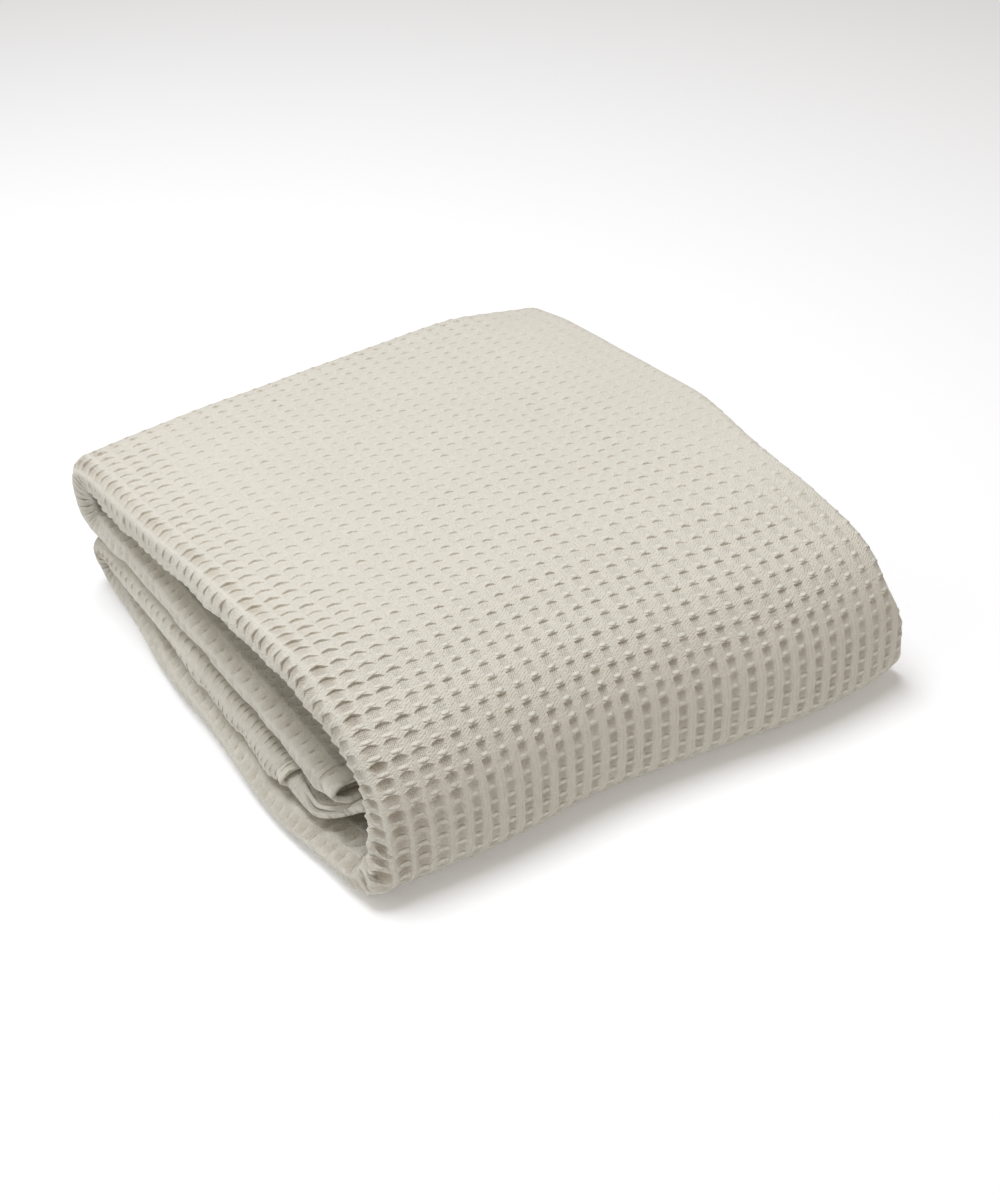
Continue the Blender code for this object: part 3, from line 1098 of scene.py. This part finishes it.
class Socket:
    """A shader socket that takes part in Python expressions."""

    def __init__(self, nodes: "Nodes", link: bpy.types.NodeSocket) -> None:
        """Wrap a socket.

        Args:
            nodes: The material's nodes.
            link: An output socket.
        """
        self.nodes = nodes
        self.link = link

    def math(self, operation: str, *values: "Socket | float") -> "Socket":
        """Add a Math node whose first value is this socket.

        Args:
            operation: The Math node's operation.
            values: Its other values.

        Returns:
            The result.
        """
        return self.nodes.math(operation, self, *values)

    def __add__(self, other: "Socket | float") -> "Socket":
        """This value plus another."""
        return self.math("ADD", other)

    def __radd__(self, other: float) -> "Socket":
        """A number plus this value."""
        return self.nodes.math("ADD", other, self)

    def __sub__(self, other: "Socket | float") -> "Socket":
        """This value less another."""
        return self.math("SUBTRACT", other)

    def __rsub__(self, other: float) -> "Socket":
        """A number less this value."""
        return self.nodes.math("SUBTRACT", other, self)

    def __mul__(self, other: "Socket | float") -> "Socket":
        """This value times another."""
        return self.math("MULTIPLY", other)

    def __rmul__(self, other: float) -> "Socket":
        """A number times this value."""
        return self.nodes.math("MULTIPLY", other, self)

    def __truediv__(self, other: "Socket | float") -> "Socket":
        """This value over another."""
        return self.math("DIVIDE", other)

    def positive(self) -> "Socket":
        """This value, or 0 where it is less."""
        return self.math("MAXIMUM", 0.0)

    def wave(self, length: float) -> "Socket":
        """A cosine wave of a given length, from -1 to 1."""
        return (self * (math.tau / length)).math("COSINE")

    def step(self, low: float, high: float) -> "Socket":
        """Rise smoothly from 0 to 1 as the value goes from low to high."""
        settings = {"interpolation_type": "SMOOTHSTEP"}
        return self.nodes.add("ShaderNodeMapRange", settings,
                              {"Value": self, "From Min": low, "From Max": high})


class Nodes:
    """The node tree of one material."""

    NOISE_ROUGHNESS = 0.55
    MIX_COLOURS = (6, 7)    # the numbers of the Mix node's colour inputs
    MIX_RESULT = 2          # and of its colour output

    def __init__(self, name: str) -> None:
        """Start a material with an empty tree.

        Args:
            name: The material's name.
        """
        self.material = bpy.data.materials.new(name)
        self.material.use_nodes = True
        self.tree = self.material.node_tree
        self.tree.nodes.clear()

    def add(self, kind: str, settings: dict, inputs: dict, output: int | str = 0) -> Socket:
        """Add one node.

        Args:
            kind: The node's type.
            settings: The node's own properties, set first.
            inputs: Values or links, by socket name or number.
            output: The socket to hand back.

        Returns:
            One of the node's outputs.
        """
        node = self.tree.nodes.new(kind)
        for name, value in settings.items():
            setattr(node, name, value)
        for name, value in inputs.items():
            if isinstance(value, Socket):
                self.tree.links.new(value.link, node.inputs[name])
            else:
                node.inputs[name].default_value = value
        return Socket(self, node.outputs[output] if len(node.outputs) else None)

    def math(self, operation: str, *values: Socket | float) -> Socket:
        """Add a Math node."""
        return self.add("ShaderNodeMath", {"operation": operation}, dict(enumerate(values)))

    def noise(self, place: Socket, size: float, detail: float = 2.0) -> Socket:
        """Smooth noise about zero.

        Args:
            place: Where it is read.
            size: The size of its lumps, in the place's own unit.
            detail: How many finer layers it has.

        Returns:
            The noise, about -1 to 1.
        """
        noise = self.add("ShaderNodeTexNoise", {}, {
            "Vector": place, "Scale": 1.0 / size, "Detail": detail,
            "Roughness": self.NOISE_ROUGHNESS})
        return (noise - 0.5) * 2.0

    def blend(self, factor: Socket, first: tuple | Socket, second: tuple | Socket) -> Socket:
        """Mix two colours.

        Args:
            factor: 0 for the first and 1 for the second.
            first: A colour.
            second: Another colour.

        Returns:
            The mixed colour.
        """
        inputs = {0: factor, **dict(zip(self.MIX_COLOURS, (first, second)))}
        return self.add("ShaderNodeMix", {"data_type": "RGBA"}, inputs, self.MIX_RESULT)


@dataclass(frozen=True)
class Spot:
    """What the cotton's nodes know about a place on the flat cloth, in millimetres."""

    place: Socket
    across: Socket
    along: Socket
    from_rib: Socket    # distance from the nearest rib's middle
    fuzz: Socket        # fine noise
    lumps: Socket       # coarser noise
    basket: Socket      # the yarns' plain weave
    rib: Socket         # from here on all are masks, from 0 to 1
    hollow: Socket      # between the ribs and ridges
    plain: Socket       # the hollows that aren't modelled
    strained: Socket    # the front, pulled tight
    bent: Socket        # the shoulder and the front
    front: Socket
    wide: Socket        # the wide pockets near the rolled end
    on_roll: Socket
    sheltered: Socket   # the tucked ends, the inside and the underside, out of the light


@dataclass(frozen=True)
class Cotton:
    """Undyed ivory cotton in a waffle weave; lengths are in millimetres."""

    light: tuple = (0.745, 0.725, 0.651, 1.0)
    shade: tuple = (0.42, 0.368, 0.29, 1.0)     # the darker colour: painted shade in pockets, crescents, dots and pinches, and the yarns' darker random tone
    shades: tuple = (-0.35, 1.05)       # the sums that give the light colour and the shade
    roughness: float = 0.92
    specular: float = 0.25
    sheen: float = 0.25
    sheen_roughness: float = 0.45
    sheen_tint: tuple = (1.0, 0.97, 0.90, 1.0)

    # Masks: between which places they go from 0 to 1, or back
    outer_side: tuple = (-182.0, -166.0)
    lit_side: tuple = (-190.0, -180.0)
    roll_side: tuple = (-163.0, -154.0)
    wide_side: tuple = (-150.0, -112.0)
    lit_from: tuple = (330.0, 380.0)
    bent_from: tuple = (540.0, 660.0)
    slanting_to: tuple = (560.0, 650.0)
    front_from: tuple = (635.0, 712.0)
    front_to: tuple = (760.0, 800.0)
    strained_from: tuple = (650.0, 712.0)
    foot: tuple = (745.0, 790.0)
    rib_side: tuple = (1.7, 3.6)        # from the rib's middle
    ridge_side: tuple = (0.5, 2.2)      # from the ridge's middle
    seam_side: tuple = (0.2, 1.0)       # from the seam's middle
    hem_side: tuple = (11.5, 12.5)      # from the cloth's edge

    # Sizes of the yarns, noises and marks; the crescent and the dot are painted shade
    yarn: float = 1.15                  # from yarn to yarn
    rib_yarn: float = 2.1               # from line to line on the ribs, in yarns
    twist_yarn: float = 1.3             # and across the twist
    twist_slope: float = 0.6
    twist_drift: float = 0.5            # how far the lumps move the yarns
    rib_drift: float = 0.15
    basket_drift: float = 0.2
    fuzz_size: float = 1.1
    lump_size: float = 3.5
    patch_size: float = 9.0
    cloud_size: float = 55.0
    bead_half: tuple = (2.3, 0.9)       # half its width, and more where pockets are wide
    bead_length: float = 1.35
    slant: float = 0.7
    bow: tuple = (0.85, 0.8)            # of the pocket's end, and more where pockets are wide
    straighter: float = 1.25
    crescent_at: tuple = (0.40, 0.7)    # middle and half length
    crescent_ends: float = 0.7
    dot_at: tuple = (0.8, 1.3)          # middle and half length
    dot_narrow: float = 3.2
    widest_pinch: float = 1.6           # of the creases that are too fine for the mesh

    # Heights of the bump; the second is added on strained or bent cloth
    rib_bump: tuple = (0.03, 0.20)
    basket_bump: tuple = (0.06, 0.14)
    bead_bump: tuple = (0.15, 0.80)
    twist_bump: float = 0.05
    fuzz_bump: float = 0.34
    lump_bump: float = 0.32
    hollow_bump: float = 0.5
    seam_bump: float = 0.6
    hem_bump: float = 0.3               # what is left of them all on the hems

    # Parts of the shade: painted shade and highlight, and random tone; the later ones are added on
    # the front and the rolled end
    painted_pocket_shade: tuple = (0.07, 0.26, 0.40)
    painted_crescent_shade: tuple = (0.29, 0.34, 0.10)
    painted_crescent_patches: float = 0.30
    crescent_sheltered: float = 0.8
    painted_bead_highlight: tuple = (0.05, 0.34)    # painted highlight on the beads; the second on bent cloth
    lump_shade: tuple = (0.12, 0.14)    # the second on sheltered cloth
    fuzz_shade: float = 0.24
    cloud_shade: float = 0.05
    basket_shade: float = 0.06
    painted_hollow_shade: float = 0.35
    painted_dot_shade: float = 0.48
    painted_pinch_shade: float = 0.5

    def spot(self, nodes: Nodes, blanket: Blanket) -> Spot:
        """Lay out the places, noises and masks that bump and shade share.

        Args:
            nodes: The material's nodes.
            blanket: The blanket that wears it.

        Returns:
            Their sockets.
        """
        weave = blanket.weave
        flat = nodes.add("ShaderNodeUVMap", {"uv_map": "flat"}, {})
        place = nodes.add("ShaderNodeVectorMath", {"operation": "SCALE"},
                          {0: flat, "Scale": 1.0 / MM})
        across = nodes.add("ShaderNodeSeparateXYZ", {}, {0: place})
        along = Socket(nodes, across.link.node.outputs[1])
        modelled = nodes.add("ShaderNodeAttribute", {"attribute_name": "modelled"}, {}, "Fac")
        cell, length = weave.cell_across / MM, blanket.cell_along / MM
        column = ((across - (weave.start + weave.rib_middle) / MM) / cell).math("FRACT")
        row = (along / length - weave.ridge_middle).math("FRACT")
        from_rib = (0.5 - (column - 0.5).math("ABSOLUTE")) * cell
        from_ridge = (0.5 - (row - 0.5).math("ABSOLUTE")) * length
        rib = 1.0 - from_rib.step(*self.rib_side)
        ridge = 1.0 - from_ridge.step(*self.ridge_side)
        hollow = (1.0 - rib) * (1.0 - ridge)
        lumps = nodes.noise(place, self.lump_size)
        outer_side = across.step(*self.outer_side)
        before_foot = 1.0 - along.step(*self.foot)
        before_underside = 1.0 - along.step(*self.front_to)
        lit = along.step(*self.lit_from) * before_foot * across.step(*self.lit_side)
        shift = lumps * self.basket_drift
        return Spot(
            place=place, across=across, along=along, from_rib=from_rib, lumps=lumps,
            fuzz=nodes.noise(place, self.fuzz_size),
            basket=(across + shift).wave(self.yarn) * (along + shift).wave(self.yarn),
            rib=rib, hollow=hollow, plain=hollow * (1.0 - modelled),
            strained=along.step(*self.strained_from) * before_foot * outer_side,
            bent=along.step(*self.bent_from) * before_foot * outer_side,
            front=along.step(*self.front_from) * before_underside * outer_side,
            wide=1.0 - across.step(*self.wide_side),
            on_roll=1.0 - across.step(*self.roll_side), sheltered=1.0 - lit)

    def marks(self, nodes: Nodes, blanket: Blanket, spot: Spot) -> tuple[Socket, Socket, Socket]:
        """Draw the marks at each pocket's end, mostly painted light and shade.

        Args:
            nodes: The material's nodes.
            blanket: The blanket that wears it.
            spot: The place's sockets.

        Returns:
            The raised bead, which is also painted lighter, the painted shadow of the crescent behind
            it, and the painted shade of a dot on sheltered cloth.
        """
        weave = blanket.weave
        cell, length = weave.cell_across / MM, blanket.cell_along / MM
        middle = weave.rib_lines[weave.middle_line] / MM
        column = ((spot.across - weave.start / MM - middle) / cell + 0.5).math("FRACT") - 0.5
        aside = column * cell / (self.bead_half[0] + spot.wide * self.bead_half[1])
        behind = ((spot.along / length + 0.5).math("FRACT") - 0.5) * length
        upward = (behind + self.bead_length) / self.bead_length
        bead = (1.0 - aside * aside - upward * upward).positive()

        slant = aside * (1.0 - spot.along.step(*self.slanting_to)) * self.slant
        straight = 1.0 - spot.bent * self.straighter * (1.0 - spot.wide)
        bow = aside * aside * (self.bow[0] + spot.wide * self.bow[1]) * straight
        # The crescent is painted shadow behind each bead, at the pocket's steep end.
        from_bow = behind - bow - slant
        middle, half = self.crescent_at
        crescent = (1.0 - ((from_bow - middle) / half).math("ABSOLUTE")).positive()
        crescent = crescent * (1.0 - aside * aside * self.crescent_ends).positive()
        # How dark the painted shadow is: more on the front and the rolled end, uneven from patch to
        # patch, weaker on sheltered cloth.
        anywhere, on_front, on_roll = self.painted_crescent_shade
        strength = anywhere + spot.front * on_front + spot.on_roll * on_roll
        strength = strength + nodes.noise(spot.place, self.patch_size, detail=1.0) * self.painted_crescent_patches
        strength = strength * (1.0 - spot.sheltered * self.crescent_sheltered)

        # The dot is painted shade in the pockets of sheltered cloth.
        middle, half = self.dot_at
        onward = (from_bow - middle) / half
        dot = (1.0 - aside * aside * self.dot_narrow - onward * onward).positive()
        return bead, crescent * strength, dot * spot.sheltered

    def bumps(self, blanket: Blanket, spot: Spot, bead: Socket) -> Socket:
        """Add up the yarns, the fuzz, the beads and the hems' seam.

        Args:
            blanket: The blanket that wears it.
            spot: The place's sockets.
            bead: The raised beads.

        Returns:
            The bump's height.
        """
        weave = blanket.weave
        twist = spot.along + spot.across * self.twist_slope + spot.lumps * self.twist_drift
        twist = twist.wave(self.yarn * self.twist_yarn)
        lines = (spot.from_rib + spot.lumps * self.rib_drift).wave(self.yarn * self.rib_yarn)
        lines = lines * (spot.strained * self.rib_bump[1] + self.rib_bump[0])
        basket = spot.hollow * spot.basket * (spot.bent * self.basket_bump[1]
                                              + self.basket_bump[0])
        height = spot.rib * (lines + twist * self.twist_bump) + basket
        height = height + spot.fuzz * self.fuzz_bump + spot.lumps * self.lump_bump
        height = height + bead * (spot.bent * self.bead_bump[1] + self.bead_bump[0])
        height = height - spot.plain * self.hollow_bump

        sides = (spot.across - weave.start / MM).math("MINIMUM", weave.end / MM - spot.across)
        ends = spot.along.math("MINIMUM", blanket.length / MM - spot.along)
        from_edge = sides.math("MINIMUM", ends)
        from_seam = (from_edge - blanket.hem_width / MM).math("ABSOLUTE")
        seam = 1.0 - from_seam.step(*self.seam_side)
        inside = self.hem_bump + (1.0 - self.hem_bump) * from_edge.step(*self.hem_side)
        return height * inside - seam * self.seam_bump

    def darkness(self, nodes: Nodes, spot: Spot, marks: tuple) -> Socket:
        """Add up the painted shade of pockets, crescents and dots, the painted highlight of beads,
        and the random tone of fuzz, lumps, clouds and yarns.

        Args:
            nodes: The material's nodes.
            spot: The place's sockets.
            marks: The bead, the crescent and the dot.

        Returns:
            The sum, which the shades turn into a colour.
        """
        bead, crescent, dot = marks
        pocket = nodes.add("ShaderNodeAttribute", {"attribute_name": "pocket"}, {}, "Fac")
        # The deeper a pocket, the more painted shade it gets, more on the front and the rolled end;
        # hollows that aren't modelled get it as well.
        depth = pocket.math("MAXIMUM", spot.plain * self.painted_hollow_shade)
        anywhere, on_front, on_roll = self.painted_pocket_shade
        shade = depth * (anywhere + spot.front * on_front + spot.on_roll * on_roll)
        shade = shade + nodes.noise(spot.place, self.cloud_size, detail=3.0) * self.cloud_shade
        shade = shade + spot.fuzz * self.fuzz_shade
        shade = shade + spot.lumps * (self.lump_shade[0] + spot.sheltered * self.lump_shade[1])
        shade = shade - spot.basket * spot.hollow * spot.strained * self.basket_shade
        # The beads get a painted highlight, stronger on bent cloth.
        shade = shade - bead * (spot.bent * self.painted_bead_highlight[1] + self.painted_bead_highlight[0])
        # The crescents and dots add their painted shade.
        return shade + crescent + dot * self.painted_dot_shade

    def pinches(self, spot: Spot) -> list[tuple[Socket, float]]:
        """The creases that are too fine for the mesh; they get a bump and painted shade.

        Args:
            spot: The place's sockets.

        Returns:
            The mask and the depth of each.
        """
        found = []
        for crease in CREASES:
            if crease.width / MM > self.widest_pinch:
                continue
            onward, aside = crease.turned(spot.across - crease.across / MM,
                                          spot.along - crease.along / MM)
            onward = onward / (crease.length / MM / 2)
            aside = aside / (crease.width / MM)
            found.append(((1.0 - onward * onward - aside * aside).positive(),
                          -crease.height / MM))
        return found

    def material(self, blanket: Blanket) -> bpy.types.Material:
        """Build the cotton's nodes.

        Args:
            blanket: The blanket that wears it.

        Returns:
            The material.
        """
        nodes = Nodes("waffle_cotton")
        spot = self.spot(nodes, blanket)
        marks = self.marks(nodes, blanket, spot)
        height = self.bumps(blanket, spot, marks[0])
        darkness = self.darkness(nodes, spot, marks)
        # The fine creases are bumped down and get painted shade.
        for pinch, depth in self.pinches(spot):
            height = height - pinch * depth
            darkness = darkness + pinch * self.painted_pinch_shade
        bump = nodes.add("ShaderNodeBump", {}, {"Strength": 1.0, "Distance": 1.0 * MM,
                                                "Height": height})
        colour = nodes.blend(darkness.step(*self.shades), self.light, self.shade)
        shader = nodes.add("ShaderNodeBsdfPrincipled", {}, {
            "Base Color": colour, "Roughness": self.roughness, "Normal": bump,
            "Sheen Weight": self.sheen, "Sheen Roughness": self.sheen_roughness,
            "Sheen Tint": self.sheen_tint, "Specular IOR Level": self.specular})
        nodes.add("ShaderNodeOutputMaterial", {}, {"Surface": shader})
        return nodes.material


@dataclass(frozen=True)
class PlainFloor:
    """The pale floor's matt paint."""

    colour: tuple = (0.90, 0.91, 0.925, 1.0)
    roughness: float = 0.9
    specular: float = 0.1
    glow: float = 0.17

    def material(self) -> bpy.types.Material:
        """Build the floor's nodes.

        Returns:
            The material.
        """
        nodes = Nodes("pale_floor")
        shader = nodes.add("ShaderNodeBsdfPrincipled", {}, {
            "Base Color": self.colour, "Roughness": self.roughness,
            "Specular IOR Level": self.specular,
            "Emission Color": self.colour, "Emission Strength": self.glow})
        nodes.add("ShaderNodeOutputMaterial", {}, {"Surface": shader})
        return nodes.material


# --------------------------------------------------------------------------- the studio

class Lamp(NamedTuple):
    """One soft round light."""

    name: str
    place: tuple
    aim: tuple      # the point it shines at
    size: float
    power: float    # in watts
    colour: tuple


LAMPS = (
    Lamp("key", place=(-0.18, 0.24, 1.65), aim=(0.0, 0.0, 0.05), size=1.0, power=22.6,
         colour=(0.945, 0.962, 1.0)),
    Lamp("left", place=(-1.15, 0.05, 1.05), aim=(0.0, 0.0, 0.05), size=1.0, power=3.0,
         colour=(0.96, 0.98, 1.0)),
    Lamp("fill", place=(0.30, -1.60, 0.90), aim=(0.0, -0.1, 0.05), size=1.2, power=1.9,
         colour=(1.0, 0.80, 0.54)),
)


@dataclass
class Studio:
    """A pale floor, soft light, and a camera where the photograph's was."""

    camera_at: tuple = (-425.0 * MM, -621.5 * MM, 586.3 * MM)
    camera_right: tuple = (0.805, -0.593, -0.0145)
    camera_down: tuple = (-0.365, -0.476, -0.800)
    lens: float = 50.4              # in millimetres, as the sensor is
    sensor: float = 36.0
    nearest: float = 10.0 * MM      # that the camera sees
    floor_size: float = 40.0
    sky: tuple = (1.0, 0.905, 0.795, 1.0)
    sky_strength: float = 0.28

    def camera(self) -> None:
        """Place the camera."""
        right = Vector(self.camera_right).normalized()
        up = -Vector(self.camera_down)
        up = (up - right * up.dot(right)).normalized()
        back = right.cross(up)
        data = bpy.data.cameras.new("camera")
        data.lens = self.lens
        data.sensor_width = self.sensor
        data.clip_start = self.nearest
        eye = bpy.data.objects.new("camera", data)
        eye.matrix_world = Matrix.Translation(Vector(self.camera_at)) @ Matrix(
            (right, up, back)).transposed().to_4x4()
        bpy.context.scene.collection.objects.link(eye)
        bpy.context.scene.camera = eye

    def floor(self) -> None:
        """Lay the floor."""
        bpy.ops.object.select_all(action="DESELECT")
        bpy.ops.mesh.primitive_plane_add(size=self.floor_size, location=(0.0, 0.0, 0.0))
        floor = bpy.context.active_object
        floor.name = "floor"
        floor.data.materials.append(PlainFloor().material())

    def hang(self, lamp: Lamp) -> None:
        """Hang one light.

        Args:
            lamp: What it is like and where it hangs.
        """
        data = bpy.data.lights.new(lamp.name, "AREA")
        data.shape = "DISK"
        data.size = lamp.size
        data.energy = lamp.power
        data.color = lamp.colour
        hung = bpy.data.objects.new(lamp.name, data)
        hung.location = lamp.place
        ray = Vector(lamp.aim) - Vector(lamp.place)
        hung.rotation_euler = ray.to_track_quat("-Z", "Y").to_euler()
        bpy.context.scene.collection.objects.link(hung)

    def light(self) -> None:
        """Light the scene from above and the left, with a weak fill in front."""
        world = bpy.data.worlds.new("studio")
        world.use_nodes = True
        background = world.node_tree.nodes["Background"]
        background.inputs["Color"].default_value = self.sky
        background.inputs["Strength"].default_value = self.sky_strength
        bpy.context.scene.world = world
        bpy.context.scene.view_settings.view_transform = "Standard"
        for lamp in LAMPS:
            self.hang(lamp)


def main() -> None:
    """Build the scene."""
    logging.basicConfig(level=logging.INFO, format="%(name)s: %(message)s")
    studio = Studio()
    studio.camera()
    studio.floor()
    cloth = Blanket().build()
    studio.light()
    LOG.info("built %s", cloth.name)


if __name__ == "__main__":
    main()
